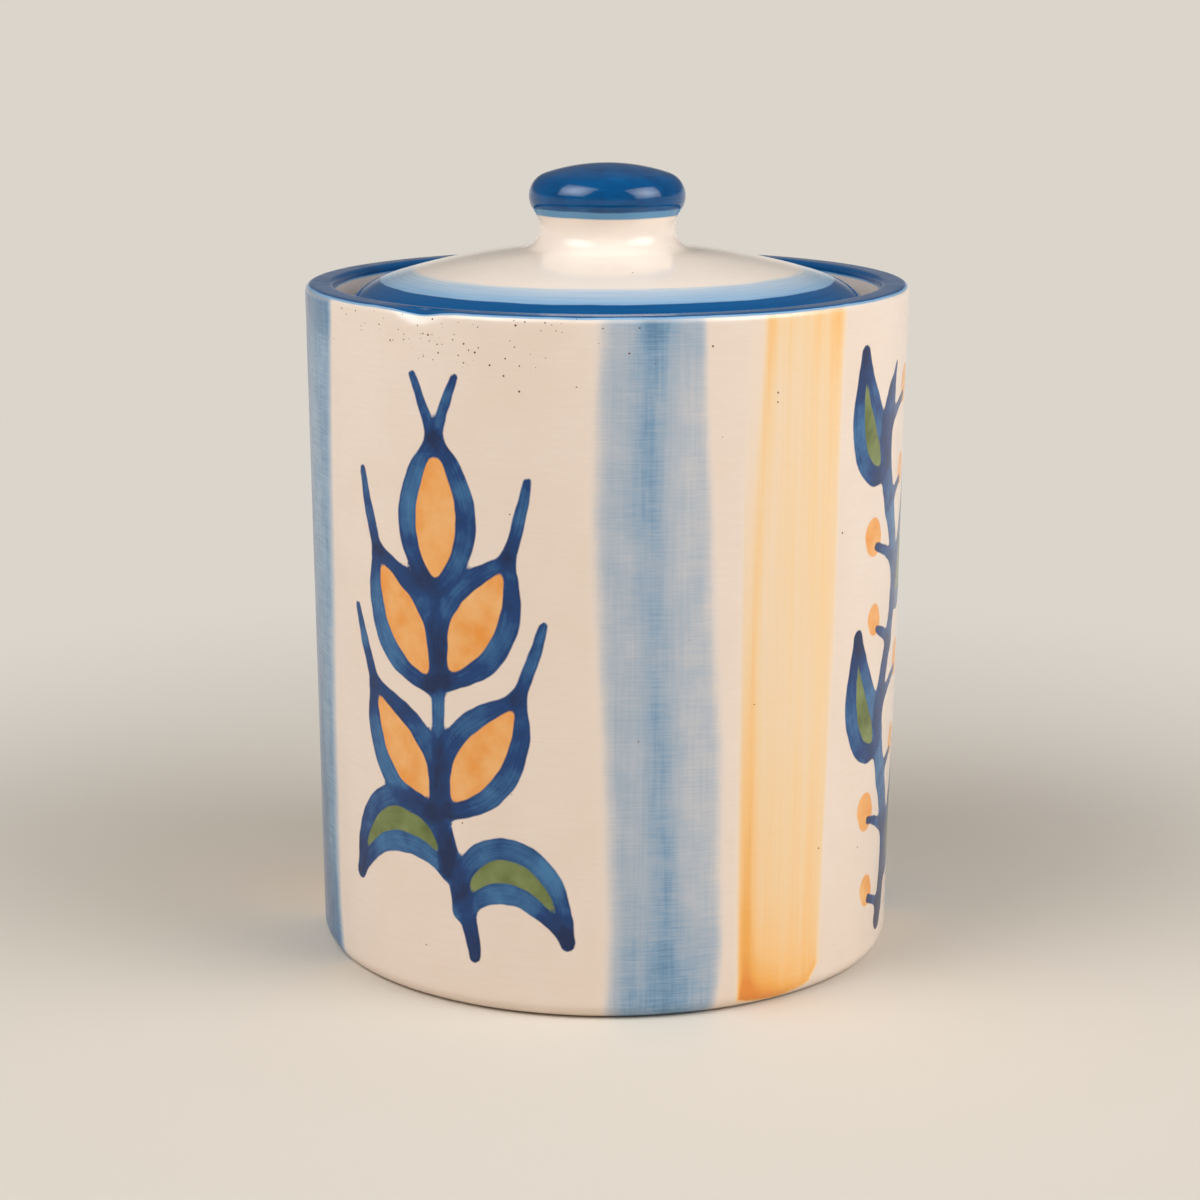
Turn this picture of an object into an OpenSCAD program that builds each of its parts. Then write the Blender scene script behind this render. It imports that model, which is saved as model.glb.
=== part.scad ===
// Stoneware canister with a drop-in lid.
// The jar is a straight-sided pot on a foot ring, with a ledge inside its rim.
// The lid is a domed shell with a hollow knob. It sits on the ledge, below the rim, and lifts straight off.
// Both pieces are turned about the Z axis, and the foot stands on the plane z = 0.

/* [Jar] */
// Height of the jar from its foot to the top of the rim
jar_h = 184.4; // [130:0.1:260]
// Outer diameter of the jar at the rim
rim_d = 165; // [140:0.5:220]
// Outer diameter of the jar just above the foot
base_d = 161.5; // [140:0.5:220]
// Thickness of the side wall below the ledge
wall_t = 7.5; // [5:0.1:10]
// Thickness of the floor
floor_t = 8; // [5:0.1:14]
// Radius of the inside corner between the floor and the side wall
floor_corner_r = 10; // [4:0.5:20]

/* [Foot] */
// Radius of the rounded edge around the foot
foot_round_r = 4.5; // [1:0.1:8]
// Width of the flat ring that the jar stands on
foot_ring_w = 8; // [5:0.5:14]
// Height of the hollow inside the foot ring
foot_hollow_h = 1.8; // [0.5:0.1:3]
// Width of the slope between the foot ring and its hollow
foot_slope_w = 3; // [1:0.5:6]

/* [Rim and ledge] */
// Thickness of the rim around the lid
rim_t = 7.8; // [6:0.1:10]
// Radius of the outer edge of the rim
rim_outer_r = 2; // [0.5:0.1:3]
// Radius of the inner edge of the rim
rim_inner_r = 1.4; // [0.5:0.1:2.5]
// Depth of the ledge below the top of the rim
ledge_depth = 11.5; // [8:0.1:20]
// Width of the ledge, inwards from the rim
ledge_w = 7; // [5:0.1:10]
// Thickness of the ledge at its nose
ledge_t = 4; // [2.5:0.1:8]
// Radius of the upper edge of the ledge's nose
ledge_nose_r = 1; // [0.5:0.1:2]
// Radius of the corner between the ledge and the rim
ledge_corner_r = 0.8; // [0.3:0.1:1.2]
// Height of the slope that carries the ledge out from the side wall
ledge_slope_h = 11; // [5:0.5:20]

/* [Lid] */
// Gap all round between the lid and the rim
lid_gap = 1.5; // [0.5:0.1:2.5]
// Thickness of the lid's shell
lid_t = 7; // [5:0.1:8]
// Height of the lid's upright edge, above its seat on the ledge
lid_edge_h = 2.6; // [1.5:0.1:6]
// Radius of the upper side of the lid's edge
lid_edge_r = 2; // [0.5:0.1:4]
// Radius of the lower side of the lid's edge
lid_seat_r = 1; // [0.5:0.1:1.4]
// Width of the shoulder between the dome and the lid's edge
shoulder_w = 13; // [9:0.5:18]
// Slope of the shoulder where it meets the lid's edge, in degrees
shoulder_slope = 54; // [45:1:75]
// Radius of the dome
dome_r = 210; // [160:1:400]

/* [Knob] */
// Diameter of the knob
knob_d = 42.8; // [36:0.1:60]
// Height of the knob's crown above the narrowest part of its neck
knob_h = 17.7; // [15:0.1:30]
// Radius of the knob's crown
knob_crown_r = 54; // [35:0.5:120]
// Radius of the knob's rounded edge
knob_edge_r = 6.5; // [4:0.1:8]
// How far the knob stands out past its neck
knob_overhang = 2.8; // [1.5:0.1:4.5]
// Radius of the flare between the neck and the dome
neck_flare_r = 5.5; // [3:0.1:10]
// Thickness of the knob over its hollow
knob_t = 7; // [5:0.1:9]
// Radius of the edge where the hollow of the knob opens under the lid
hollow_edge_r = 3; // [1:0.1:4]

/* [Hidden] */
// Largest distance between an arc and the chords that draw it
arc_gap = 0.01;
$fn = 180;

// Radii and heights of the jar
rim_r = rim_d / 2;
base_r = base_d / 2;
bore_r = rim_r - rim_t;
ledge_r = bore_r - ledge_w;
seat_z = jar_h - ledge_depth;
slope_z = seat_z - ledge_t - ledge_slope_h;
floor_z = foot_hollow_h + floor_t;
foot_r = base_r - foot_round_r;
foot_hollow_r = foot_r - foot_ring_w;

// The lid's edge, its shoulder and its dome: arcs that run into each other with no corner
lid_r = bore_r - lid_gap;
dome_edge_x = lid_r - shoulder_w;
dome_slope = asin(dome_edge_x / dome_r);
shoulder_r = (shoulder_w - lid_edge_r * (1 - sin(shoulder_slope)))
    / (sin(shoulder_slope) - sin(dome_slope));
edge_c = [lid_r - lid_edge_r, seat_z + lid_edge_h];
shoulder_c = edge_c + (lid_edge_r - shoulder_r) * slope_normal(shoulder_slope);
dome_c = shoulder_c + (shoulder_r - dome_r) * slope_normal(dome_slope);

// The neck and the knob: each arc touches the next one
knob_r = knob_d / 2;
neck_r = knob_r - knob_overhang;
flare_x = neck_r + neck_flare_r;
neck_z = dome_c.y + leg(dome_r + neck_flare_r, flare_x);
flare_c = [flare_x, neck_z];
crown_z = neck_z + knob_h;
crown_c = [0, crown_z - knob_crown_r];
knob_x = knob_r - knob_edge_r;
knob_c = [knob_x, crown_c.y + leg(knob_crown_r - knob_edge_r, knob_x)];
throat_r = (pow(neck_r - knob_x, 2) + pow(knob_c.y - neck_z, 2) - pow(knob_edge_r, 2))
    / (2 * knob_overhang);
throat_c = [neck_r + throat_r, neck_z];

// The underside of the lid, parallel to its top, and the hollow of the knob
under_shoulder_r = shoulder_r - lid_t;
under_dome_r = dome_r - lid_t;
hollow_r = neck_r - lid_t;
hollow_edge_x = hollow_r + hollow_edge_r;
hollow_edge_c = [hollow_edge_x, dome_c.y + leg(under_dome_r + hollow_edge_r, hollow_edge_x)];
hollow_c = [0, crown_z - knob_t - hollow_r];

// Direction that points away from a surface which slopes down by an angle
function slope_normal(slope) = [sin(slope), cos(slope)];

// Third side of a triangle with a right angle, from its longest side and another side
function leg(longest, side) = sqrt(pow(longest, 2) - pow(side, 2));

// Direction from one point to another, in degrees from 0 to 360
function heading(from, to) = (atan2(to.y - from.y, to.x - from.x) + 360) % 360;

// Number of chords that keep an arc true
function arc_steps(r, sweep) = max(2, ceil(abs(sweep) / (2 * acos(1 - arc_gap / r))));

// Points of an arc around a centre, between two directions
function arc(centre, r, from, to) =
    let (steps = arc_steps(r, to - from))
    [for (i = [0 : steps])
        let (a = from + (to - from) * i / steps)
        centre + r * [cos(a), sin(a)]];

// Outer radius of the jar at a height
function side_r(z) = base_r + (rim_r - base_r) * z / jar_h;

// Radius of the inside of the jar at a height below the ledge
function inside_r(z) = side_r(z) - wall_t;

module jar_section() {
    corner_z = floor_z + floor_corner_r;
    polygon(concat(
        [[0, foot_hollow_h], [foot_hollow_r - foot_slope_w, foot_hollow_h], [foot_hollow_r, 0]],
        arc([foot_r, foot_round_r], foot_round_r, 270, 360),
        arc([rim_r - rim_outer_r, jar_h - rim_outer_r], rim_outer_r, 0, 90),
        arc([bore_r + rim_inner_r, jar_h - rim_inner_r], rim_inner_r, 90, 180),
        arc([bore_r - ledge_corner_r, seat_z + ledge_corner_r], ledge_corner_r, 360, 270),
        arc([ledge_r + ledge_nose_r, seat_z - ledge_nose_r], ledge_nose_r, 90, 180),
        [[ledge_r, seat_z - ledge_t], [inside_r(slope_z), slope_z]],
        arc([inside_r(corner_z) - floor_corner_r, corner_z], floor_corner_r, 360, 270),
        [[0, floor_z]]
    ));
}

module lid_section() {
    to_knob = heading(crown_c, knob_c);
    to_throat = heading(knob_c, throat_c);
    to_dome = heading(flare_c, dome_c);
    to_under_dome = heading(hollow_edge_c, dome_c);
    seat_rise = asin((seat_z - shoulder_c.y) / under_shoulder_r);
    polygon(concat(
        arc(crown_c, knob_crown_r, 90, to_knob),
        arc(knob_c, knob_edge_r, to_knob, to_throat - 360),
        arc(throat_c, throat_r, to_throat - 180, 180),
        arc(flare_c, neck_flare_r, 180, to_dome),
        arc(dome_c, dome_r, to_dome - 180, 90 - dome_slope),
        arc(shoulder_c, shoulder_r, 90 - dome_slope, 90 - shoulder_slope),
        arc(edge_c, lid_edge_r, 90 - shoulder_slope, 0),
        arc([lid_r - lid_seat_r, seat_z + lid_seat_r], lid_seat_r, 360, 270),
        arc(shoulder_c, under_shoulder_r, seat_rise, 90 - dome_slope),
        arc(dome_c, under_dome_r, 90 - dome_slope, to_under_dome - 180),
        arc(hollow_edge_c, hollow_edge_r, to_under_dome, 180),
        arc(hollow_c, hollow_r, 0, 90)
    ));
}

// Jar: side wall, floor, foot ring, rim and the ledge that the lid sits on
module jar() {
    color("#EBD8C4") rotate_extrude() jar_section();
}

// Lid: shoulder, dome, neck and knob in one piece of clay, hollow underneath
module lid() {
    color("#F3E6D5") rotate_extrude() lid_section();
}

jar();
lid();
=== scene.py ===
"""Looks of a hand-painted stoneware canister: a glazed jar, its drop-in lid and a plain studio around them.

The jar and the lid are turned from half sections in the sizes of the solid model. The brushwork is worked
out from the paths of the brush, as distances in mm that are stored on the points of the mesh, and the
shaders turn those distances into paint. Lengths are in metres unless a name or a comment says mm.
"""

import math

import bmesh
import bpy
import numpy as np
from bpy.props import FloatProperty, FloatVectorProperty, PointerProperty
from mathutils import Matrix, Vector


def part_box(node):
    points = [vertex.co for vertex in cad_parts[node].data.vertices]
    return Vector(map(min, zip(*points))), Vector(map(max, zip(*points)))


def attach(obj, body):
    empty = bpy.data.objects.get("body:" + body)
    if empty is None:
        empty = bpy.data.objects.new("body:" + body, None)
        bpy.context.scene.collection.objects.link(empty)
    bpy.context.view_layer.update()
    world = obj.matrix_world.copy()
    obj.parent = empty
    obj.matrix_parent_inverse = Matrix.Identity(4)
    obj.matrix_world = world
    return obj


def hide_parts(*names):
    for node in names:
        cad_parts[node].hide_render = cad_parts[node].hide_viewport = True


bl_info = {
    "name": "Stoneware Canister",
    "version": (1, 0, 0),
    "blender": (4, 5, 0),
    "location": "3D View > Sidebar > Canister",
    "description": "Builds a hand-painted stoneware canister with a drop-in lid",
    "category": "Object",
}

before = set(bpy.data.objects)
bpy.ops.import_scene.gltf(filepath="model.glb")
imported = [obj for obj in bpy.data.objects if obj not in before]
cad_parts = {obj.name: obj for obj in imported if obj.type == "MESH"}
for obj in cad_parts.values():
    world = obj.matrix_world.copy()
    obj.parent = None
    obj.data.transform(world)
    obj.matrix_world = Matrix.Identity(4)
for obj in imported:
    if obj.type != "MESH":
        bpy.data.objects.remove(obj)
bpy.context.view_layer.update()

MM = 0.001
JAR_TOP = Vector(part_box("jar")[1])
LID_FOOT = Vector(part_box("lid")[0])
LID_TOP = Vector(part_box("lid")[1])
JAR_TOP_MM = JAR_TOP.z / MM

# Wedges around the axis and faces in each
WEDGES = 8
WEDGE_STEPS = 55

# Heights of the rows of faces along a section: under paint, on arcs, in the rim's bore and further inside
PAINT_ROW = 1.2 * MM
ARC_ROW = 2.5 * MM
BORE_ROW = 3 * PAINT_ROW
INSIDE_ROW = 20 * PAINT_ROW

# Largest turn of one face on an arc, and the sharpest edge that is still shaded smooth
ARC_STEP = math.radians(10)
CREASE = math.radians(35)

# Points nearer than this are one
SEAM = MM / 1000

# Middle of each painted stripe and motif, in degrees from the front towards +X.
# A wide blue stripe also has its width and its load, against the one in front, and its right edge's lean.
# The first stripe's high load is partly deeper paint and partly painted shade, darkening it near the jar's
# left edge.
BLUE_STRIPES = ((-77.7, 1.26, 2.2, -0.8), (8.9, 1, 1, 1), (105.7, 1.1, 1.1, -0.5), (189.3, 1, 1, 0.6))
OCHRE_STRIPES = (-108, 36.3)
EARS = (-32.5, 147.5)
VINES = (68.5, 224.5)

# How far each stripe's sway is ahead of that of the stripe before it, in radians
BLUE_PHASE = 1.7
OCHRE_PHASE = 2.1

# Middle of the dent in the rim, in degrees from the front, and about half its width in mm
RIM_DENT = -35.7
DENT_REACH_MM = 7

# Middle of the cluster of iron specks, in degrees from the front and in mm below the rim, and its reach
SPECK_TURN = -29
SPECK_TURN_REACH = 22
SPECK_DROP_MM = 6
SPECK_DROP_REACH_MM = 7

# A distance in mm that is clear of all paint, and the room on each side of a stripe's middle
FAR_MM = 99.0
STRIPE_ROOM_MM = 30

# Points along a curve of the brush, and the spacing of its hairs in mm
CURVE_POINTS = 25
HAIR_MM = 0.6

# Values that a noise texture seldom passes
NOISE_RANGE = (0.28, 0.72)

# Chance of an iron speck in a cell of plain glaze
STRAY_SPECKS = 0.003

# Floor of the studio, the distances from the canister between which its paper runs into the backdrop,
# and the rays that see the backdrop there
FLOOR_RADIUS = 8
FLOOR_SIDES = 96
PAPER_FADE = (0.1, 0.45)
SHOWN_RAYS = ("Is Camera Ray", "Is Glossy Ray", "Is Transmission Ray")

# Height on the unit sphere around the scene where the backdrop has dimmed to the ceiling
CEILING_RISE = 0.16

# Softboxes: degrees around from the front towards +X, and degrees up
LEFT_SOFTBOX = (-57, 44)
RIGHT_SOFTBOX = (64, 33)

# Camera at the photograph's viewing angle: its place, its turn up from straight down, its lens and sensor
CAMERA_PLACE = (-0.00198, -0.7779, 0.2715)
CAMERA_TILT = math.radians(77.17)
LENS_MM = 85.08
SENSOR_MM = 36


def linear(hex_colour):
    """Scene-linear red, green and blue of an sRGB hex colour."""
    channels = [int(hex_colour[i:i + 2], 16) / 255 for i in (1, 3, 5)]
    return tuple(c / 12.92 if c <= 0.04045 else ((c + 0.055) / 1.055) ** 2.4 for c in channels)


def length(name, description, millimetres):
    """A length property whose default is given in millimetres."""
    return FloatProperty(
        name=name, description=description, default=millimetres * MM, unit="LENGTH", precision=4
    )


def power(name, description, watts):
    """A lamp's power property, in watts."""
    return FloatProperty(name=name, description=description, default=watts, unit="POWER")


def colour(name, description, hex_colour):
    """A colour property whose default is given as sRGB hex."""
    return FloatVectorProperty(
        name=name, description=description, default=(*linear(hex_colour), 1), size=4, subtype="COLOR",
        min=0, max=1,
    )


class JarSizes(bpy.types.PropertyGroup):
    """Sizes of the jar that the frame's boxes don't give."""

    base_radius: length("Base radius", "Outer radius just above the foot", 80.75)
    wall: length("Wall", "Thickness of the side wall", 7.5)
    floor: length("Floor", "Thickness of the floor", 8)
    floor_corner: length("Floor corner", "Radius inside, between floor and wall", 10)
    foot_round: length("Foot rounding", "Radius of the edge around the foot", 4.5)
    foot_ring: length("Foot ring", "Width of the ring that the jar stands on", 8)
    foot_hollow: length("Foot hollow", "Height of the hollow inside the foot ring", 1.8)
    foot_slope: length("Foot slope", "Width of the slope into the hollow", 3)
    rim: length("Rim", "Thickness of the rim around the lid", 7.8)
    rim_outer: length("Rim outer edge", "Radius of the outer edge of the rim", 2)
    rim_inner: length("Rim inner edge", "Radius of the inner edge of the rim", 1.4)
    ledge: length("Ledge", "Width of the ledge that the lid sits on", 7)
    ledge_nose: length("Ledge nose", "Radius of the ledge's upper edge", 1)
    ledge_corner: length("Ledge corner", "Radius between the ledge and the rim", 0.8)
    ledge_thickness: length("Ledge thickness", "Height of the ledge's nose", 4)
    ledge_slope: length("Ledge slope", "Height of the slope under the ledge", 11)
    dent: length("Rim dent", "Depth of the soft dent in the rim's outer edge", 1.3)
    lean: length("Lean", "How far the wall draws in above the foot on one side", 0.9)
    rim_paint: length("Rim paint", "Depth of the dark blue below the top of the rim", 0.25)
    inner_paint: length("Inner paint", "Depth of the dark blue inside the rim", 2.1)


class LidSizes(bpy.types.PropertyGroup):
    """Sizes of the lid that the frame's boxes don't give."""

    shell: length("Shell", "Thickness of the lid", 7)
    edge: length("Edge", "Height of the upright edge above the seat", 2.6)
    edge_round: length("Edge rounding", "Radius of the edge's upper side", 2)
    seat_round: length("Seat rounding", "Radius of the edge's lower side", 1)
    shoulder: length("Shoulder", "Width of the shoulder outside the dome", 13)
    shoulder_slope: FloatProperty(
        name="Shoulder slope", description="Slope of the shoulder at the lid's edge",
        default=math.radians(54), subtype="ANGLE",
    )
    dome_radius: length("Dome radius", "Radius of the dome", 210)
    knob_radius: length("Knob radius", "Half the width of the knob", 21.4)
    knob_height: length("Knob height", "Height of the crown above the narrowest part of the neck", 17.7)
    crown_radius: length("Crown radius", "Radius of the knob's crown", 54)
    knob_edge: length("Knob edge", "Radius of the knob's rounded edge", 6.5)
    overhang: length("Overhang", "How far the knob stands out past its neck", 2.8)
    flare: length("Flare", "Radius between the neck and the dome", 5.5)
    knob_roof: length("Knob roof", "Thickness of the knob over its hollow", 7)
    hollow_edge: length("Hollow edge", "Radius where the knob's hollow opens", 3)
    dark_band: length("Dark band", "Radius where the dark outer band begins", 62.1)
    light_band: length("Light band", "Radius where the light inner band begins", 52.1)
    knob_paint: length("Knob paint", "Depth of the dark blue below the top of the knob", 11.8)


class PaintColours(bpy.types.PropertyGroup):
    """Colours of the glaze, of the bare clay and of the brushed pigments."""

    glaze: colour("Glaze", "Cream glaze of the jar", "#EEDED1")
    glaze_warm: colour("Warm glaze", "Cream where the glaze is thin and the clay shows through", "#E7D3C1")
    lid_glaze: colour("Lid glaze", "Paler cream of the lid", "#F5E7D9")
    # This white also serves as a painted highlight along the rim's edge and in the dent
    white: colour("Thick glaze", "Glaze where it breaks over the edge of the rim", "#F7EEE4")
    clay: colour("Clay", "Bare clay of the foot and the seat", "#D2B797")
    iron: colour("Iron", "Iron specks in the clay", "#6B4322")
    cobalt: colour("Cobalt", "Blue of the bands on rim, lid and knob", "#00538B")
    cobalt_deep: colour("Deep cobalt", "Blue where the brush left most", "#00224F")
    cobalt_brush: colour("Brushed cobalt", "Blue of an ordinary brush stroke", "#003A74")
    cobalt_thin: colour("Thin cobalt", "Blue where the brush left little", "#3E76A4")
    knob_line: colour("Knob line", "Blue of the thin line under the knob", "#5C96C0")
    band: colour("Light band", "Light blue at the inner edge of the lid's band", "#C6D3DE")
    band_deep: colour("Deeper band", "Light blue at the band's outer edge and below the rim", "#86AED0")
    wash: colour("Wash", "Blue in the core of the wide stripes", "#82A0BB")
    wash_thin: colour("Thin wash", "Blue at the sides of the wide stripes", "#B1BAC5")
    wash_deep: colour("Deep wash", "Blue where the wide stripes begin and end", "#5E86A6")
    wash_full: colour("Full wash", "Blue in the core of the darkest wide stripe", "#34608E")
    ochre: colour("Ochre", "Yellow where it pooled at the foot", "#E78E3C")
    ochre_wet: colour("Wet ochre", "Yellow where the brush was wettest", "#F1AD56")
    ochre_line: colour("Ochre line", "Yellow at the edge of a stripe", "#F7C482")
    ochre_thin: colour("Thin ochre", "Yellow over the width of a stripe", "#F3D2A5")
    orange: colour("Orange", "Fill of the grains", "#EC963A")
    orange_thin: colour("Thin orange", "Fill of the grains where it is watery", "#F3BB7A")
    leaf: colour("Leaf", "Fill of the leaves", "#546024")
    leaf_thin: colour("Thin leaf", "Fill of the leaves where it is watery", "#85925B")


class StageSettings(bpy.types.PropertyGroup):
    """Floor and lamps of the studio."""

    paper: colour("Paper", "Pale paper of the floor", "#DBD2C6")
    backdrop: colour("Backdrop", "Pale backdrop that the paper runs into", "#DBD5CC")
    ceiling: colour("Ceiling", "Dim ceiling over the backdrop", "#6E6C69")
    lamp_size: length("Lamp size", "Width of each softbox", 940)
    lamp_distance: length("Lamp distance", "Distance of each softbox from the canister", 1200)
    left_power: power("Left power", "Power of the left softbox", 10)
    right_power: power("Right power", "Power of the right softbox", 10.4)


class CanisterSettings(bpy.types.PropertyGroup):
    """Everything that a user would change."""

    jar: PointerProperty(type=JarSizes)
    lid: PointerProperty(type=LidSizes)
    paint: PointerProperty(type=PaintColours)
    stage: PointerProperty(type=StageSettings)


def in_scene(bm, name):
    """An object made of a bmesh whose doubles are merged, with its faces turned outwards."""
    bmesh.ops.recalc_face_normals(bm, faces=bm.faces)
    mesh = bpy.data.meshes.new(name)
    bm.to_mesh(mesh)
    bm.free()
    piece = bpy.data.objects.new(name, mesh)
    bpy.context.scene.collection.objects.link(piece)
    return piece


class Section:
    """A pen that draws half a section in the plane y = 0, one stretch at a time, and turns it about Z."""

    def __init__(self, x, z):
        self.bm = bmesh.new()
        self.tip = self.bm.verts.new((x, 0, z))

    def line(self, x, z, row=None):
        """A straight stretch to a point, in rows of about the given height."""
        step = Vector((x, 0, z)) - self.tip.co
        rows = math.ceil(step.length / row) if row else 1
        for _ in range(rows):
            self.tip = bmesh.ops.extrude_vert_indiv(self.bm, verts=[self.tip])["verts"][0]
            self.tip.co += step / rows

    def arc(self, x, z, sweep):
        """A round stretch about a centre; a positive sweep runs anticlockwise in the section."""
        reach = (Vector((x, 0, z)) - self.tip.co).length * abs(sweep)
        turned = bmesh.ops.spin(
            self.bm, geom=[self.tip], cent=(x, 0, z), axis=(0, -1, 0), angle=sweep,
            steps=max(3, math.ceil(abs(sweep) / ARC_STEP), math.ceil(reach / ARC_ROW)),
        )
        self.tip = next(part for part in turned["geom_last"] if isinstance(part, bmesh.types.BMVert))

    def turned(self, name):
        """The closed body that the section makes when it goes once around the axis, wedge by wedge."""
        bm = self.bm
        bmesh.ops.remove_doubles(bm, verts=bm.verts, dist=SEAM)
        wedge = math.tau / WEDGES
        bmesh.ops.spin(
            bm, geom=bm.verts[:] + bm.edges[:], cent=(0, 0, 0), axis=(0, 0, 1), angle=wedge,
            steps=WEDGE_STEPS,
        )
        bmesh.ops.spin(
            bm, geom=bm.verts[:] + bm.edges[:] + bm.faces[:], cent=(0, 0, 0), axis=(0, 0, 1),
            angle=math.tau - wedge, steps=WEDGES - 1, use_duplicate=True,
        )
        bmesh.ops.remove_doubles(bm, verts=bm.verts, dist=SEAM)
        piece = in_scene(bm, name)
        piece.data.shade_smooth()
        piece.data.set_sharp_from_angle(angle=CREASE)
        return piece


def quarter(sign=1):
    """A quarter turn: anticlockwise, or clockwise with a sign of -1."""
    return sign * math.pi / 2


def jar_shape(size):
    """The jar from the middle of its hollow foot, up the outside, over the rim and down the inside."""
    rim_r, top = JAR_TOP.x, JAR_TOP.z
    bore_r = rim_r - size.rim
    ledge_r = bore_r - size.ledge
    seat_z = LID_FOOT.z
    slope_z = seat_z - size.ledge_thickness - size.ledge_slope
    floor_z = size.foot_hollow + size.floor
    foot_r = size.base_radius - size.foot_round
    ring_r = foot_r - size.foot_ring
    corner_z = floor_z + size.floor_corner

    def inside_r(z):
        return size.base_radius + (rim_r - size.base_radius) * z / top - size.wall

    pen = Section(0, size.foot_hollow)
    pen.line(ring_r - size.foot_slope, size.foot_hollow)
    pen.line(ring_r, 0)
    pen.line(foot_r, 0)
    pen.arc(foot_r, size.foot_round, quarter())
    pen.line(rim_r, top - size.rim_outer, PAINT_ROW)
    pen.arc(rim_r - size.rim_outer, top - size.rim_outer, quarter())
    pen.line(bore_r + size.rim_inner, top, PAINT_ROW)
    pen.arc(bore_r + size.rim_inner, top - size.rim_inner, quarter())
    pen.line(bore_r, seat_z + size.ledge_corner, BORE_ROW)
    pen.arc(bore_r - size.ledge_corner, seat_z + size.ledge_corner, quarter(-1))
    pen.line(ledge_r + size.ledge_nose, seat_z)
    pen.arc(ledge_r + size.ledge_nose, seat_z - size.ledge_nose, quarter())
    pen.line(ledge_r, seat_z - size.ledge_thickness)
    pen.line(inside_r(slope_z), slope_z)
    pen.line(inside_r(corner_z), corner_z, INSIDE_ROW)
    pen.arc(inside_r(corner_z) - size.floor_corner, corner_z, quarter(-1))
    pen.line(0, floor_z)
    return pen.turned("jar_glazed")


def leg(longest, side):
    """Third side of a triangle with a right angle."""
    return math.sqrt(longest ** 2 - side ** 2)


def lid_shape(size):
    """The lid from its crown, down over knob, neck, dome and shoulder, and back underneath."""
    lid_r, seat_z = LID_TOP.x, LID_FOOT.z
    slope = size.shoulder_slope
    dome_slope = math.asin((lid_r - size.shoulder) / size.dome_radius)
    shoulder_r = (size.shoulder - size.edge_round * (1 - math.sin(slope))) / (
        math.sin(slope) - math.sin(dome_slope)
    )
    edge_x, edge_z = lid_r - size.edge_round, seat_z + size.edge
    shoulder_x = edge_x + (size.edge_round - shoulder_r) * math.sin(slope)
    shoulder_z = edge_z + (size.edge_round - shoulder_r) * math.cos(slope)
    dome_z = shoulder_z + (shoulder_r - size.dome_radius) * math.cos(dome_slope)
    neck_r = size.knob_radius - size.overhang
    flare_x = neck_r + size.flare
    neck_z = dome_z + leg(size.dome_radius + size.flare, flare_x)
    crown_z = neck_z + size.knob_height
    knob_x = size.knob_radius - size.knob_edge
    knob_z = crown_z - size.crown_radius + leg(size.crown_radius - size.knob_edge, knob_x)
    throat_r = ((neck_r - knob_x) ** 2 + (knob_z - neck_z) ** 2 - size.knob_edge ** 2) / (2 * size.overhang)
    crown_turn = math.atan2(knob_x, knob_z - crown_z + size.crown_radius)
    throat_turn = math.atan2(knob_z - neck_z, neck_r + throat_r - knob_x)
    flare_turn = math.atan2(flare_x, neck_z - dome_z)
    hollow_r = neck_r - size.shell
    hollow_x = hollow_r + size.hollow_edge
    hollow_z = dome_z + leg(size.dome_radius - size.shell + size.hollow_edge, hollow_x)
    hollow_turn = math.atan2(hollow_x, hollow_z - dome_z)
    under_shoulder_r = shoulder_r - size.shell
    seat_rise = math.asin((seat_z - shoulder_z) / under_shoulder_r)

    pen = Section(0, crown_z)
    pen.arc(0, crown_z - size.crown_radius, -crown_turn)
    pen.arc(knob_x, knob_z, -(quarter() - crown_turn + throat_turn))
    pen.arc(neck_r + throat_r, neck_z, throat_turn)
    pen.arc(flare_x, neck_z, quarter() - flare_turn)
    pen.arc(0, dome_z, flare_turn - dome_slope)
    pen.arc(shoulder_x, shoulder_z, dome_slope - slope)
    pen.arc(edge_x, edge_z, slope - quarter())
    pen.line(lid_r, seat_z + size.seat_round)
    pen.arc(lid_r - size.seat_round, seat_z + size.seat_round, quarter(-1))
    pen.line(shoulder_x + under_shoulder_r * math.cos(seat_rise), seat_z)
    pen.arc(shoulder_x, shoulder_z, quarter() - dome_slope - seat_rise)
    pen.arc(0, dome_z, dome_slope - hollow_turn)
    pen.arc(hollow_x, hollow_z, hollow_turn - quarter())
    pen.line(hollow_r, crown_z - size.knob_roof - hollow_r)
    pen.arc(0, crown_z - size.knob_roof - hollow_r, quarter())
    return pen.turned("lid_glazed")


def smooth(low, high, value):
    """A soft step from 0 at low to 1 at high; it falls instead where high is the smaller."""
    t = np.clip((value - low) / (high - low), 0, 1)
    return t * t * (3 - 2 * t)


def hump(distance, half_width):
    """A soft hump: 1 in its middle, and next to nothing at twice its half width."""
    return np.exp(-(distance / half_width) ** 2)


def graded(place, *steps):
    """A value that changes evenly from step to step; each step is a place in mm and the value there."""
    return np.interp(place, *zip(*steps))


def curve(*points):
    """Places along a Bezier curve, in mm, from its ends and the handles between them."""
    t = np.linspace(0, 1, CURVE_POINTS)[:, None]
    points = [np.array(point, float) for point in points]
    while len(points) > 1:
        points = [a + (b - a) * t for a, b in zip(points, points[1:])]
    return points[0]


def along(share, values):
    """Values spread evenly over a stroke, read at a share of its length."""
    return np.interp(share, np.linspace(0, 1, len(values)), values)


def merged(one, other):
    """The larger of two distances in mm, filled out where they are alike, as wet strokes run together."""
    pool = 2.2
    alike = np.clip(1 - np.abs(one - other) / pool, 0, 1)
    return np.maximum(one, other) + alike ** 2 * pool / 4


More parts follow.
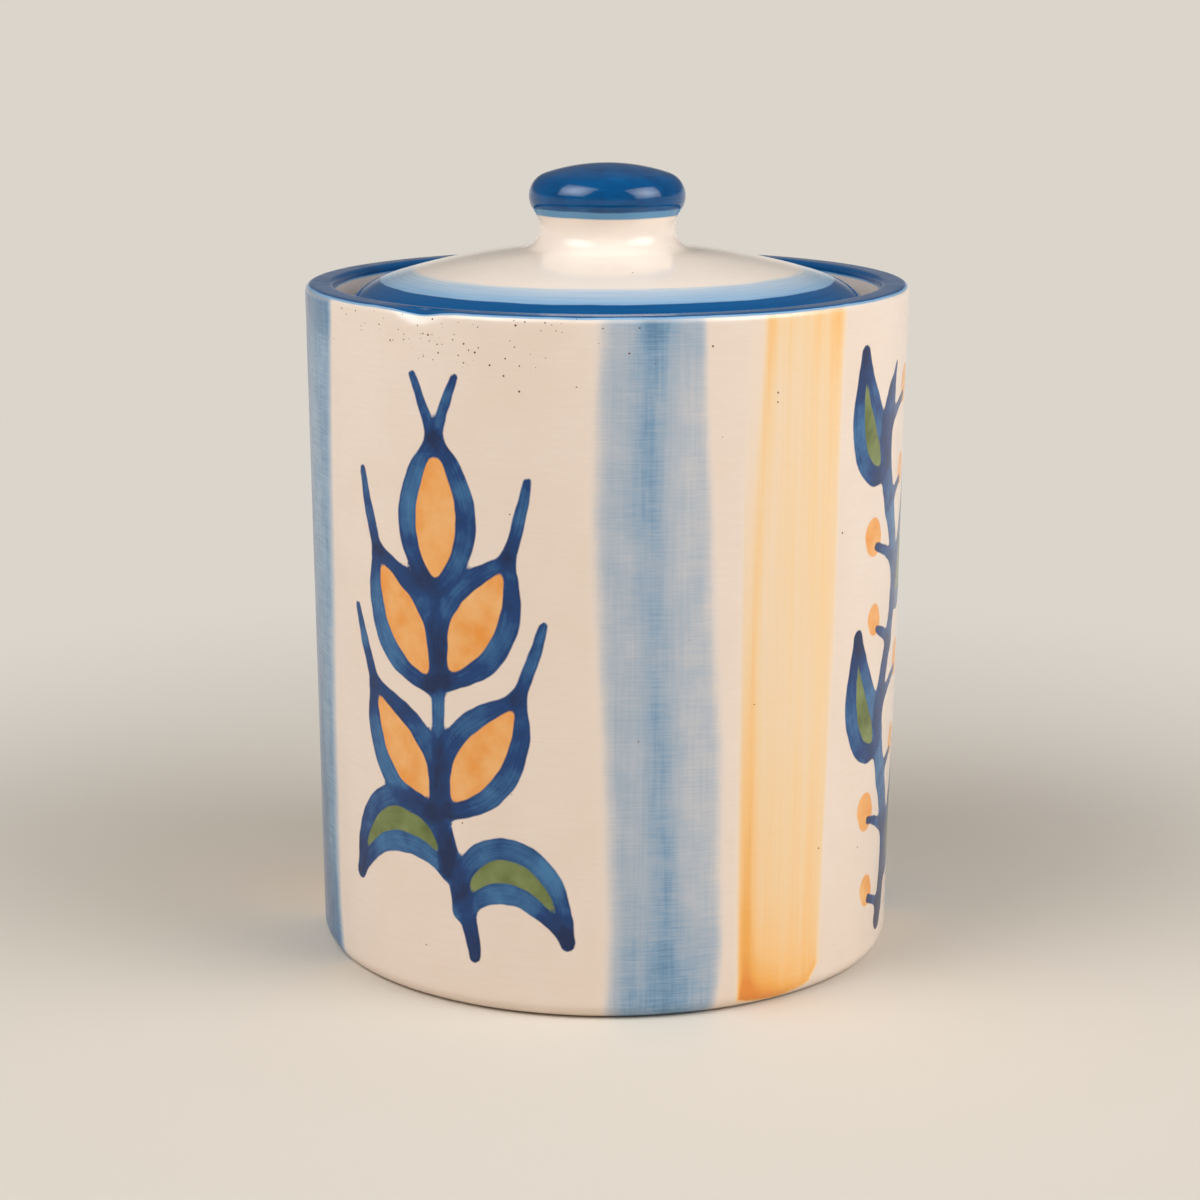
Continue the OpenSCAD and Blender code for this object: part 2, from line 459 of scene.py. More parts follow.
def reach(u, z, path, widths):
    """How far inside a brush stroke each place is, how far across it and how far along it, in mm."""
    width = along(np.linspace(0, 1, len(path)), widths)
    runs = np.diff(path, axis=0)
    starts = np.append(0, np.cumsum(np.hypot(*runs.T)))
    best = np.full(u.shape, -FAR_MM)
    across, passed = np.zeros(u.shape), np.zeros(u.shape)
    for i, (start, run) in enumerate(zip(path, runs)):
        right, up = u - start[0], z - start[1]
        t = np.clip((right * run[0] + up * run[1]) / (run @ run), 0, 1)
        away = np.hypot(right - t * run[0], up - t * run[1])
        inside = width[i] + t * (width[i + 1] - width[i]) - away
        nearer = inside > best
        best[nearer] = inside[nearer]
        across[nearer] = (np.sign(run[0] * up - run[1] * right) * away)[nearer]
        passed[nearer] = (starts[i] + t * (starts[i + 1] - starts[i]))[nearer]
    return best, across, passed


class Brushwork:
    """Paint on the jar's side: for each point of the mesh, how far inside each colour it is, in mm."""

    # Room around a stroke in which points are measured, and how far past its edge the hairs still reach
    ROOM_MM = 8
    WET_MM = 1.2

    # Load that a stroke gains over older paint, and the length that keeps its streaks unlike the last one's
    CROSSING_LOAD = 0.24
    APART_MM = 90

    # Half widths of the stroke up each side of a leaf, in mm, from foot to tip
    SIDE_WIDTHS = (1.9, 2.8, 3.0, 2.6, 1.5)

    def __init__(self, turn, z, radius):
        self.turn, self.z, self.radius = turn, z, radius
        self.blue = np.full(turn.shape, -FAR_MM)
        self.load, self.across, self.passed = (np.zeros(turn.shape) for _ in range(3))
        self.fills = {"orange": self.blue.copy(), "green": self.blue.copy()}
        self.u = None
        self.strokes = 0

    def face(self, turn):
        """Turns the jar, so that widths are measured from this angle."""
        self.u = np.radians((self.turn - turn + 180) % 360 - 180) * self.radius

    def near(self, path, widths):
        """Points around a stroke, with their places in it."""
        room = max(widths) + self.ROOM_MM
        (left, low), (right, high) = path.min(0) - room, path.max(0) + room
        spots = np.flatnonzero((self.u > left) & (self.u < right) & (self.z > low) & (self.z < high))
        return spots, *reach(self.u[spots], self.z[spots], path, widths)

    def stroke(self, path, widths, loads):
        """A stroke of blue, darker where it crosses paint that is already there."""
        spots, inside, across, passed = self.near(path, widths)
        self.strokes += 1
        load = along(passed / passed.max(), loads) + self.CROSSING_LOAD * smooth(-0.3, 0.8, self.blue[spots])
        self.load[spots] += (load - self.load[spots]) * smooth(-self.WET_MM, 0, inside)
        wet = inside > -self.WET_MM
        self.across[spots[wet]] = across[wet]
        self.passed[spots[wet]] = passed[wet] + self.APART_MM * self.strokes
        self.blue[spots] = merged(self.blue[spots], inside)

    def dab(self, path, widths, fill):
        """A stroke of a fill colour."""
        spots, inside, _, _ = self.near(path, widths)
        self.fills[fill][spots] = np.maximum(self.fills[fill][spots], inside)

    def leaf(self, path, bulge, fill, loads):
        """A leaf or a grain along a path: a dab of colour, then a stroke of blue up each side of it."""
        heading = np.gradient(path, axis=0)
        heading /= np.hypot(*heading.T)[:, None]
        outward = np.column_stack([heading[:, 1], -heading[:, 0]])

        # It is fullest a little below its middle, and the dab stops short of both ends
        share = np.linspace(0, 1, len(path))
        swell = bulge * np.sin(np.pi * share ** 0.9) ** 0.85
        self.dab(path[2:-3], swell[2:-3], fill)
        for side, side_loads in zip((-1, 1), loads):
            self.stroke(path + side * swell[:, None] * outward, self.SIDE_WIDTHS, side_loads)


def paint_ear(brush):
    """An ear of grain with two blades on its stem: orange grains and green blades between strokes of blue."""
    brush.stroke(curve((10, 15), (8, 34), (-2, 46), (0, 64)), (1.9, 2.9, 2.6, 2.2), (0.95, 0.35, 0.2, 0.5))
    brush.stroke(curve((0, 58), (-0.6, 76), (0.6, 92), (0, 112)), (2.0, 1.9, 1.7), (0.5, 0.35, 0.6))
    brush.leaf(
        curve((2, 37), (-5, 54), (-24, 54), (-32, 30)), 6.4, "green",
        ((0.35, 0.15, 0.2, 0.9), (0.8, 0.5, 0.35, 0.9)),
    )
    brush.leaf(
        curve((6, 27), (12, 44), (28, 45), (36, 21)), 6.2, "green",
        ((0.7, 0.3, 0.2, 0.8), (0.35, 0.15, 0.3, 0.95)),
    )

    # Two pairs of grains, each with a bristle at its tip, and then the grain at the top
    bristle_loads = (0.75, 0.3, 0.45)
    for foot, tip, end in (((2.6, 53), (23, 85), (30, 105)), ((2.6, 88), (20.5, 121), (26, 142))):
        for side in (-1, 1):
            start, stop, last = (np.array((side * x, z + 0.8 * side)) for x, z in (foot, tip, end))
            bend = stop + 0.6 * (stop - start) * (0.35, 0.55)
            brush.stroke(curve(stop, bend, last), (1.9, 1.7, 1.1), bristle_loads)
            brush.leaf(
                curve(start, start + (side * 4, 10), stop - (side * 5, 11), stop), 8.9, "orange",
                ((0.6, 0.42 + 0.1 * side, 0.3, 0.75), (0.75, 0.35, 0.5 - 0.1 * side, 0.7)),
            )
    for side in (-1, 1):
        brush.stroke(curve((0, 150), (side * 2.2, 159), (side * 6.5, 168)), (1.9, 1.6, 1.1), bristle_loads)
    brush.leaf(
        curve((0, 113), (-0.8, 124), (0.8, 140), (0.3, 152)), 9.2, "orange",
        ((0.8, 0.4, 0.25, 0.6), (0.6, 0.5, 0.4, 0.8)),
    )


def paint_vine(brush):
    """A wavy stem up the side, with a leaf on the outside of each bend and two berries on the inside."""
    foot, top, half_wave = 11, 166, 38
    heights = np.linspace(foot, top, 90)
    sway = 5.5 * np.sin((heights - foot) / half_wave * math.pi)
    swell = 3.2 + 0.6 * np.sin((heights - foot) / 17)
    loads = 0.42 + 0.2 * np.sin(heights / 11) + 0.4 * smooth(34, 14, heights)
    for bend in range(4):
        z = foot + (bend + 0.5) * half_wave
        side = 1 if bend % 2 == 0 else -1
        for out, rise, size in ((12.5, 14, 4.6), (10.5, -9, 3.7)):
            berry = z + rise
            brush.dab(curve((-side * out, berry), (-side * (out + 0.6), berry + 1.6)), (size, size), "orange")
            brush.stroke(
                curve((side * 3, berry - 8), (-side * 3, berry - 4), (-side * (out - 1.5), berry - 2)),
                (1.8, 1.5, 1.2), (0.6, 0.4, 0.75),
            )
        brush.leaf(
            curve((side * 5, z - 4), (side * 13, z - 4), (side * 19, z + 4), (side * 20, z + 27)),
            6.3, "green", ((0.75, 0.4, 0.25, 0.85), (0.5, 0.25, 0.35, 0.9)),
        )
    brush.stroke(np.column_stack([sway, heights]), swell * smooth(0, 14, top + 2 - heights) + 0.4, loads)


def wash_load(u, z, start, lean):
    """Load of a wide blue stripe: soft on its left, firmer on its right, with a darker core and ends."""
    sway = 0.5 * np.sin(z / 23 + start) + 0.3 * np.sin(z / 9.5 + 2 * start)

    # Where its two edges and its core run, and how soft the edges are
    left = graded(z, (10, -11.8), (40, -12.1), (70, -13.4), (101, -13.6), (132, -15.6), (180, -14.6))
    left_soft = graded(z, (10, 4.7), (60, 3.7))
    right = 15.1 + lean * graded(z, (3, 0.6), (18, 2.4), (70, 2), (182, -3.9)) + 0.5 * sway
    right_soft = graded(z, (20, 2.8), (100, 3.4), (175, 1.8))
    core = u - graded(z, (5, 3.3), (55, 1.4), (140, -2.7), (182, -1.5)) + 0.4 * sway

    # An even load over the width, more of it in the core, and more again at the top and towards the foot
    peak = graded(z, (60, 0.23), (90, 0.28)) + 0.06 * np.cos((z - 165) / 20.7 + start)
    load = 0.42 - 0.004 * core + peak * hump(core, 4.1)
    at_top = 0.18 * smooth(168, 181, z) * smooth(-8, 2, core)
    load += at_top + 0.19 * smooth(38, 10, z) + 0.08 * smooth(13, 4, z)
    from_left = smooth(left - left_soft, left + left_soft, u - sway)
    from_right = smooth(right + right_soft, right - right_soft, u)
    return load * from_left * from_right


def ochre_load(u, z, start):
    """Load of a streaked yellow stripe: a dark line by its left edge, dense streaks, a pool at its foot."""
    # Where its dark line, its two edges and its foot run
    line = graded(z, (30, -14.1), (95, -13.2), (135, -11.9), (180, -9.5))
    left = line - graded(z, (7, 1.9), (20, 2.2), (40, 2.5), (95, 3.3), (180, 5.9))
    right = graded(z, (5, 11), (38, 12.3), (70, 13.6), (180, 16.1)) + 0.3 * np.sin(z / 17 + start)
    foot = graded(u, (-16, 2.2), (-9, 1), (-2, 0.5), (4, 1.8), (8, 3.2), (10.5, 7))

    # Loads inside and outside the dark line, and what the line and the dense streaks add to them
    inner = graded(z, (8, 0.64), (16, 0.52), (27, 0.47), (42, 0.41), (74, 0.29), (165, 0.28), (180, 0.35))
    outer = graded(
        z, (7, 0.62), (12, 0.55), (20, 0.46), (33, 0.38), (70, 0.3), (100, 0.25), (140, 0.17), (180, 0.1)
    )
    dark = graded(
        z, (9, 0.17), (16, 0.23), (27, 0.37), (42, 0.4), (74, 0.37), (105, 0.21), (137, 0.17), (163, 0.3),
        (180, 0.36),
    )
    dense = graded(z, (30, 0.05), (74, 0.1), (137, 0.14), (163, 0.22), (180, 0.36))
    body = outer + (inner - outer) * smooth(-1.5, 0.5, u - line)
    body += dark * hump(u - line, graded(z, (20, 2.9), (90, 1.5)))
    body += dense * hump(u - right + 3.4, 2.9) + 0.5 * dense * hump(u - right + 10.5, 1.9)
    body += 0.17 * smooth(35, 8, z) * smooth(line + 22, line + 2, u)
    body += graded(u, (-10, 0.18), (8, 0.1)) * smooth(graded(u, (-4, 8), (6, 4.5)), 1.5, z - foot)
    return body * smooth(-0.9, 0.9, u - left) * smooth(1, -1.2, u - right) * smooth(-0.4, 0.8, z - foot)


def places(mesh):
    """Angle from the front in degrees, radius and height in mm of each point of a mesh."""
    co = np.empty(len(mesh.vertices) * 3, np.float32)
    mesh.vertices.foreach_get("co", co)
    x, y, z = co.reshape(-1, 3).T.astype(float) / MM
    return np.degrees(np.arctan2(x, -y)), np.hypot(x, y), z


def side_radius(size, z):
    """Outer radius of the jar's side at a height, in mm."""
    return (size.base_radius + (JAR_TOP.x - size.base_radius) * z / JAR_TOP_MM) / MM


def store(mesh, **values):
    """Keeps one number for each point of the mesh under each name."""
    for name, numbers in values.items():
        mesh.attributes.new(name, "FLOAT", "POINT").data.foreach_set("value", numbers.astype(np.float32))


def stripe_loads(brush, z, outside):
    """Loads of the wide blue stripes and of the yellow ones, at each point of the mesh."""
    wash, ochre = np.zeros(z.shape), np.zeros(z.shape)
    for number, (middle, width, strength, lean) in enumerate(BLUE_STRIPES):
        brush.face(middle)
        # The first stripe's load is partly painted shade near the jar's left edge
        load = strength * wash_load(brush.u / width, z, BLUE_PHASE * (number - 1), lean)
        wash += np.where(np.abs(brush.u) < STRIPE_ROOM_MM, load, 0) * outside
    for number, middle in enumerate(OCHRE_STRIPES):
        brush.face(middle)
        load = ochre_load(brush.u, z, OCHRE_PHASE * number)
        ochre += np.where(np.abs(brush.u) < STRIPE_ROOM_MM, load, 0) * outside
    return wash, ochre


def paint_rim(turn, z, outside, dent, size):
    """How far inside the rim's blue each point is, in mm, and how much white lies below it: glaze break and
    painted highlight.
    """
    edge = JAR_TOP_MM - np.where(outside, size.rim_paint / MM + 0.7 * dent, size.inner_paint / MM)
    edge += 0.03 * np.sin(np.radians(turn) * 9) + 0.02 * np.sin(np.radians(turn) * 23 + 1)

    # White below the blue all around, partly glaze that breaks and partly a painted highlight, and a white
    # crescent of painted highlight at the dent
    crescent = smooth(0.15, 0.6, dent) * smooth(-0.5, 0.5, z - JAR_TOP_MM + 1 + 2.6 * dent)
    breaks = 0.35 * smooth(JAR_TOP_MM - 1.9, JAR_TOP_MM - 1, z) + crescent
    return z - edge, np.minimum(breaks * outside, 1)


def shape_by_hand(mesh, size, dent):
    """Draws the wall in on its right, most of all above the foot, and presses the dent into the rim."""
    turn, radius, z = places(mesh)
    side = side_radius(size, z)
    under_rim = 0.4 * smooth(JAR_TOP_MM - 4, JAR_TOP_MM - 35, z)
    above_foot = size.lean / MM * smooth(90, 15, z)
    on_right = smooth(55, 88, turn) * smooth(160, 100, turn)
    in_skin = smooth(side - 7, side - 1, radius)
    drawn_in = (under_rim + above_foot) * (on_right * in_skin)
    pressed = size.dent * dent * smooth(JAR_TOP_MM - 4.2, JAR_TOP_MM - 1, z)
    radius = (radius - drawn_in) * MM - pressed
    z = z * MM - 0.4 * pressed * smooth(JAR_TOP_MM - 3, JAR_TOP_MM, z)
    turn = np.radians(turn)
    co = np.column_stack([radius * np.sin(turn), -radius * np.cos(turn), z])
    mesh.vertices.foreach_set("co", co.astype(np.float32).ravel())
    mesh.update()


def paint_jar(mesh, size):
    """Stores the paint of the jar on its mesh, and then makes its wall as uneven as a thrown one."""
    turn, radius, z = places(mesh)
    side = side_radius(size, z)
    outside = radius > side - size.wall / MM / 2
    brush = Brushwork(turn, np.where(outside, z, -FAR_MM), side.mean())

    wash, ochre = stripe_loads(brush, z, outside)
    for middle in EARS:
        brush.face(middle)
        paint_ear(brush)
    for middle in VINES:
        brush.face(middle)
        paint_vine(brush)
    brush.face(RIM_DENT)
    dent = hump(brush.u, DENT_REACH_MM)
    rim_reach, rim_break = paint_rim(turn, z, outside, dent, size)
    around = (turn - SPECK_TURN) / SPECK_TURN_REACH
    below = (z - JAR_TOP_MM + SPECK_DROP_MM) / SPECK_DROP_REACH_MM
    store(
        mesh, wash_load=wash, ochre_load=ochre, blue_reach=brush.blue, blue_load=brush.load,
        blue_across=brush.across, blue_passed=brush.passed, orange_reach=brush.fills["orange"],
        green_reach=brush.fills["green"], rim_reach=rim_reach, rim_break=rim_break,
        speck_load=np.exp(-around ** 2 - below ** 2) * outside,
    )
    shape_by_hand(mesh, size, dent * outside)


def paint_lid(mesh):
    """Stores each point's distance from the axis in mm on the lid's upper side, and -1 underneath."""
    turn, radius, _ = places(mesh)
    normals = np.empty(len(mesh.vertices) * 3, np.float32)
    mesh.vertex_normals.foreach_get("vector", normals)
    x, y, up = normals.reshape(-1, 3).T
    outward = x * np.sin(np.radians(turn)) - y * np.cos(np.radians(turn))
    underneath = (outward < 0.05) & (up < 0.05)
    store(mesh, top_radius=np.where(underneath, -1, radius))


def add(tree, kind, *feeds, out=None, stops=(), **settings):
    """Adds one shader node and returns an output of it.

    The feeds go to its open inputs in order: a value, another node's output, or None to leave one as it is.
    """
    new = tree.nodes.new("ShaderNode" + kind)
    for name, value in settings.items():
        setattr(new, name, value)
    if stops:
        ramp = new.color_ramp.elements
        for position, stop in stops:
            ramp.new(position).color = stop
        ramp.remove(ramp[0])
        ramp.remove(ramp[-1])
    for socket, feed in zip([socket for socket in new.inputs if socket.enabled], feeds):
        if isinstance(feed, bpy.types.NodeSocket):
            tree.links.new(feed, socket)
        elif feed is not None:
            socket.default_value = feed
    return new.outputs[out] if out else next(socket for socket in new.outputs if socket.enabled)


def cloud(tree, place, sizes_mm, detail=2.0, low=0.0, high=1.0):
    """A soft cloudy pattern from low to high, with spots of the given lengths in mm along X, Y and Z."""
    stretched = add(tree, "Mapping", place, None, None, [1 / (mm * MM) for mm in sizes_mm])
    noise = add(tree, "TexNoise", stretched, 1.0, detail, 0.55)
    return add(tree, "MapRange", noise, *NOISE_RANGE, low, high)


def together(tree, operation, first, *others):
    """Several values added up or multiplied, one after another."""
    for other in others:
        first = add(tree, "Math", first, other, operation=operation)
    return first


def painted(tree, under, over, inside, soft, where=None):
    """One colour over another, from the distance inside its soft edge, and only where it may lie."""
    cover = add(tree, "MapRange", inside, -soft / 2, soft / 2, 0.0, 1.0, interpolation_type="SMOOTHSTEP")
    if where is not None:
        cover = add(tree, "Math", cover, where, operation="MULTIPLY")
    return add(tree, "Mix", cover, under, over, data_type="RGBA")


def new_material(name):
    """A material with its shader, and the place on the object that its patterns follow."""
    material = bpy.data.materials.new(name)
    material.use_nodes = True
    tree = material.node_tree
    return material, tree, tree.nodes["Principled BSDF"].inputs, add(tree, "TexCoord", out="Object")


def specked(tree, base, place, iron, chance):
    """Specks of iron in the glaze, from 0.2 to 0.6 mm across, as thick as the chance says."""
    cell = 1.3 * MM
    cells = add(tree, "TexVoronoi", place, 1 / cell).node.outputs
    draws = add(tree, "SeparateXYZ", cells["Color"]).node.outputs
    size = add(tree, "MapRange", draws["Y"], 0.0, 1.0, 0.07, 0.23)
    inside = add(tree, "Math", size, cells["Distance"], operation="SUBTRACT")
    picked = add(tree, "Math", draws["X"], chance, operation="LESS_THAN")
    return painted(tree, base, iron, inside, 0.08, picked)


def glaze_coat(tree, shader, place, base, smoothest, roughest):
    """Clear glaze over the paint: glossy, a little uneven, with faint rings from the potter's fingers."""
    rings = cloud(tree, place, (90, 90, 1.6), 3.0)
    peel = cloud(tree, place, (3.5, 3.5, 3.5), 1.0)
    height = add(tree, "Math", peel, 0.5, rings, operation="MULTIPLY_ADD")
    tree.links.new(base, shader["Base Color"])
    tree.links.new(cloud(tree, place, (9, 9, 9), 3.0, smoothest, roughest), shader["Roughness"])
    tree.links.new(add(tree, "Bump", 0.35, 0.06 * MM, None, height), shader["Normal"])
    shader["IOR"].default_value = 1.46


def wide_stripes(tree, place, base, paint):
    """Wide blue stripes: a thin wash that shows the weave of the brush, darker where more of it was left."""
    load = together(
        tree, "MULTIPLY", add(tree, "Attribute", attribute_name="wash_load", out="Fac"),
        cloud(tree, place, (9, 9, 0.4), 3.0, 0.85, 1.14),
        cloud(tree, place, (0.8, 0.8, 26), 2.0, 0.9, 1.1),
        cloud(tree, place, (7, 7, 9), 3.0, 0.86, 1.14),
    )
    wash = add(tree, "ValToRGB", add(tree, "Math", load, 0.6, operation="MULTIPLY"), stops=(
        (0.001, paint.glaze), (0.252, paint.wash_thin), (0.45, paint.wash), (0.6, paint.wash_deep),
        (0.999, paint.wash_full),
    ))
    cover = add(tree, "MapRange", load, 0.0, 0.25)
    return add(tree, "Mix", cover, base, wash, data_type="RGBA")


def yellow_stripes(tree, place, weave, base, paint):
    """Yellow stripes: ochre from a stiff brush, whose bristles show best where it is neither thin nor wet."""
    bristles = together(
        tree, "ADD", cloud(tree, place, (1.3, 1.3, 150), 3.0, -0.06, 0.06),
        cloud(tree, place, (3.5, 3.5, 90), 2.0, -0.07, 0.07),
        add(tree, "MapRange", weave, 0.0, 1.0, 0.02, -0.02),
    )
    load = add(tree, "Attribute", attribute_name="ochre_load", out="Fac")
    shown = together(
        tree, "MULTIPLY", add(tree, "MapRange", load, 0.0, 0.25),
        add(tree, "MapRange", load, 0.5, 0.8, 1.0, 0.3),
    )
    load = add(tree, "Math", bristles, shown, load, operation="MULTIPLY_ADD")
    ochre = add(tree, "ValToRGB", load, stops=(
        (0.001, paint.glaze), (0.38, paint.ochre_thin), (0.68, paint.ochre_line), (0.84, paint.ochre_wet),
        (0.999, paint.ochre),
    ))
    cover = add(tree, "MapRange", load, 0.0, 0.2)
    return add(tree, "Mix", cover, base, ochre, data_type="RGBA")


def brush_strokes(tree, wobble, water, base, paint):
    """Watery fills of orange and green, and wet strokes of blue over them.

    The hairs of the brush leave streaks along each stroke of blue, and pigment gathers at its edges.
    """
    fills = (("orange_reach", paint.orange, paint.orange_thin), ("green_reach", paint.leaf, paint.leaf_thin))
    for name, thick, thin in fills:
        fill = add(tree, "Mix", water, thick, thin, data_type="RGBA")
        inside = add(tree, "Attribute", attribute_name=name, out="Fac")
        base = painted(tree, base, fill, add(tree, "Math", inside, wobble, operation="ADD"), 0.7)

    streak_mm = 14
    across = add(tree, "Attribute", attribute_name="blue_across", out="Fac")
    passed = add(tree, "Attribute", attribute_name="blue_passed", out="Fac")
    hairs = add(
        tree, "CombineXYZ",
        add(tree, "Math", across, 1 / HAIR_MM, operation="MULTIPLY"),
        add(tree, "Math", passed, 1 / streak_mm, operation="MULTIPLY"),
    )
    hairs = add(tree, "TexNoise", hairs, 1.0, 2.0)
    inside = add(tree, "Attribute", attribute_name="blue_reach", out="Fac")
    inside = add(tree, "Math", inside, wobble, operation="ADD")
    load = together(
        tree, "ADD", add(tree, "Attribute", attribute_name="blue_load", out="Fac"),
        add(tree, "MapRange", water, 0.0, 1.0, -0.26, 0.26),
        add(tree, "MapRange", hairs, *NOISE_RANGE, -0.1, 0.1),
        add(tree, "MapRange", inside, 0.1, 0.9, 0.12, 0.0),
    )
    brushed = add(tree, "ValToRGB", load, stops=(
        (0.001, paint.cobalt_thin), (0.5, paint.cobalt_brush), (0.95, paint.cobalt_deep),
    ))
    return painted(tree, base, brushed, inside, 0.5)


def blue_rim(tree, wobble, water, base, paint):
    """The rim: white over its edge, partly glaze that breaks and partly a painted highlight, under a thin
    pale line and then the dark blue.
    """
    # White glaze below the rim's blue, partly a painted highlight along the edge and in the dent
    break_and_highlight = add(tree, "Attribute", attribute_name="rim_break", out="Fac")
    break_and_highlight = add(tree, "MapRange", break_and_highlight, 0.0, 1.0, 0.0, 0.85)
    base = add(tree, "Mix", break_and_highlight, base, paint.white, data_type="RGBA")
    inside = add(tree, "Attribute", attribute_name="rim_reach", out="Fac")
    inside = add(tree, "Math", wobble, 0.2, inside, operation="MULTIPLY_ADD")
    line_mm = 0.45
    base = painted(tree, base, paint.band_deep, add(tree, "Math", inside, line_mm, operation="ADD"), 0.3)
    deep = add(tree, "MapRange", water, 0.4, 1.0, 0.0, 0.25)
    rim = add(tree, "Mix", deep, paint.cobalt, paint.cobalt_deep, data_type="RGBA")
    return painted(tree, base, rim, inside, 0.2)


def jar_glaze(paint):
    """Thrown stoneware, painted with oxides on cream and glazed: soft stripes, wet strokes and gloss."""
    material, tree, shader, place = new_material("glazed_stoneware_jar")
    wobble = cloud(tree, place, (6, 6, 6), 1.0, -0.22, 0.22)
    water = cloud(tree, place, (9, 9, 9), 3.0)
    weave = cloud(tree, place, (9, 9, 0.7), 2.0)

    mottled = cloud(tree, place, (26, 26, 26), 4.0, 0.0, 0.7)
    base = add(tree, "Mix", mottled, paint.glaze, paint.glaze_warm, data_type="RGBA")
    brushed_on = add(tree, "MapRange", weave, 0.0, 1.0, 0.0, 0.4)
    base = add(tree, "Mix", brushed_on, base, paint.glaze_warm, data_type="RGBA")
    base = wide_stripes(tree, place, base, paint)
    base = yellow_stripes(tree, place, weave, base, paint)
    base = brush_strokes(tree, wobble, water, base, paint)
    base = blue_rim(tree, wobble, water, base, paint)

    clusters = cloud(tree, place, (7, 7, 7), 1.0, 0.1, 1.5)
    chance = add(tree, "Attribute", attribute_name="speck_load", out="Fac")
    chance = add(tree, "Math", chance, clusters, operation="MULTIPLY")
    chance = add(tree, "MapRange", chance, 0.0, 1.0, STRAY_SPECKS, 0.95)
    base = specked(tree, base, place, paint.iron, chance)
    glaze_coat(tree, shader, place, base, smoothest=0.15, roughest=0.23)
    return material


def turning_marks(tree, place, radius):
    """Marks of a brush held still over the turning lid: fine across the radius, long around the axis."""
    marks_per_radian = 2.5
    flat = add(tree, "VectorMath", place, (1, 1, 0), operation="MULTIPLY")
    heading = add(tree, "VectorMath", flat, operation="NORMALIZE")
    ahead = add(tree, "VectorMath", heading, (marks_per_radian, marks_per_radian, 0), operation="MULTIPLY")
    across = add(tree, "CombineXYZ", 0.0, 0.0, add(tree, "Math", radius, 1 / HAIR_MM, operation="MULTIPLY"))
    marks = add(tree, "TexNoise", add(tree, "VectorMath", ahead, across, operation="ADD"), 1.0, 3.0)
    return add(tree, "MapRange", marks, *NOISE_RANGE)


def lid_bands(tree, marks, inside, base, paint, size):
    """Two bands around the lid: light blue that deepens outwards from a ragged edge, and then dark blue."""
    light, dark = size.light_band / MM, size.dark_band / MM
    deeper = together(
        tree, "ADD", add(tree, "MapRange", marks, 0.0, 1.0, -0.18, 0.18),
        add(tree, "MapRange", inside, light, dark, 0.0, 1.0),
    )
    band = add(tree, "Mix", deeper, paint.band, paint.band_deep, data_type="RGBA")
    ragged = add(tree, "Math", marks, 1.6, inside, operation="MULTIPLY_ADD")
    cover = add(tree, "MapRange", ragged, light, light + 3, 0.0, 1.0, interpolation_type="SMOOTHSTEP")
    base = add(tree, "Mix", cover, base, band, data_type="RGBA")
    deep = add(tree, "MapRange", marks, 0.4, 1.0, 0.0, 0.22)
    thick = add(tree, "Mix", deep, paint.cobalt, paint.cobalt_deep, data_type="RGBA")
    return painted(tree, base, thick, add(tree, "Math", inside, dark, operation="SUBTRACT"), 0.6)


def blue_knob(tree, place, radius, wobble, base, paint, size):
    """The knob's dark blue, cloudy and faintly ringed, over a thin lighter line; none of it underneath."""
    above = add(
        tree, "Math", add(tree, "SeparateXYZ", place, out="Z"), 1 / MM, (size.knob_paint - LID_TOP.z) / MM,
        operation="MULTIPLY_ADD",
    )
    above = add(tree, "Math", wobble, 0.5, above, operation="MULTIPLY_ADD")
    deep = together(
        tree, "ADD", cloud(tree, place, (8, 8, 8), 3.0, -0.05, 0.35),
        cloud(tree, place, (4, 4, 0.6), 3.0, -0.05, 0.25),
    )
    knob = add(tree, "Mix", deep, paint.cobalt, paint.cobalt_deep, data_type="RGBA")
    outer = add(tree, "Math", radius, -0.5, operation="GREATER_THAN")
    line_mm = 1.9
    for blue, rise in ((paint.knob_line, line_mm), (knob, 0.0)):
        base = painted(tree, base, blue, add(tree, "Math", above, rise, operation="ADD"), 0.45, outer)
    return base


def lid_glaze(paint, size):
    """The lid's glaze: two bands brushed on while the lid turned, a blue knob, and cream between them."""
    material, tree, shader, place = new_material("glazed_stoneware_lid")
    radius = add(tree, "Attribute", attribute_name="top_radius", out="Fac")
    wobble = cloud(tree, place, (16, 16, 16), 2.0, -0.25, 0.25)
    mottled = cloud(tree, place, (24, 24, 24), 4.0, 0.0, 0.5)
    base = add(tree, "Mix", mottled, paint.lid_glaze, paint.glaze, data_type="RGBA")
    inside = add(tree, "Math", radius, wobble, operation="ADD")
    base = lid_bands(tree, turning_marks(tree, place, radius), inside, base, paint, size)
    base = blue_knob(tree, place, radius, wobble, base, paint, size)
    base = specked(tree, base, place, paint.iron, STRAY_SPECKS)
    glaze_coat(tree, shader, place, base, smoothest=0.08, roughest=0.14)
    return material


def bare_clay(paint):
    """Unglazed stoneware where the kiln shelf and the lid touch: dry, sandy and darker than the glaze."""
    material, tree, shader, place = new_material("bare_stoneware_clay")
    sand = cloud(tree, place, (0.7, 0.7, 0.7), 2.0)
    worn = cloud(tree, place, (11, 11, 11), 3.0, 0.0, 0.5)
    base = add(tree, "Mix", worn, paint.clay, paint.glaze_warm, data_type="RGBA")
    grit = add(tree, "MapRange", sand, 0.75, 1.0, 0.0, 0.35)
    base = add(tree, "Mix", grit, base, paint.iron, data_type="RGBA")
    tree.links.new(base, shader["Base Color"])
    shader["Roughness"].default_value = 0.85
    tree.links.new(add(tree, "Bump", 0.5, 0.15 * MM, None, sand), shader["Normal"])
    return material


def lay_bare(mesh, heights):
    """Gives the second material, bare clay, to the level faces at the given heights."""
    level, near = 0.99, 0.02 * MM
    for face in mesh.polygons:
        if abs(face.normal.z) > level and min(abs(face.center.z - z) for z in heights) < near:
            face.material_index = 1


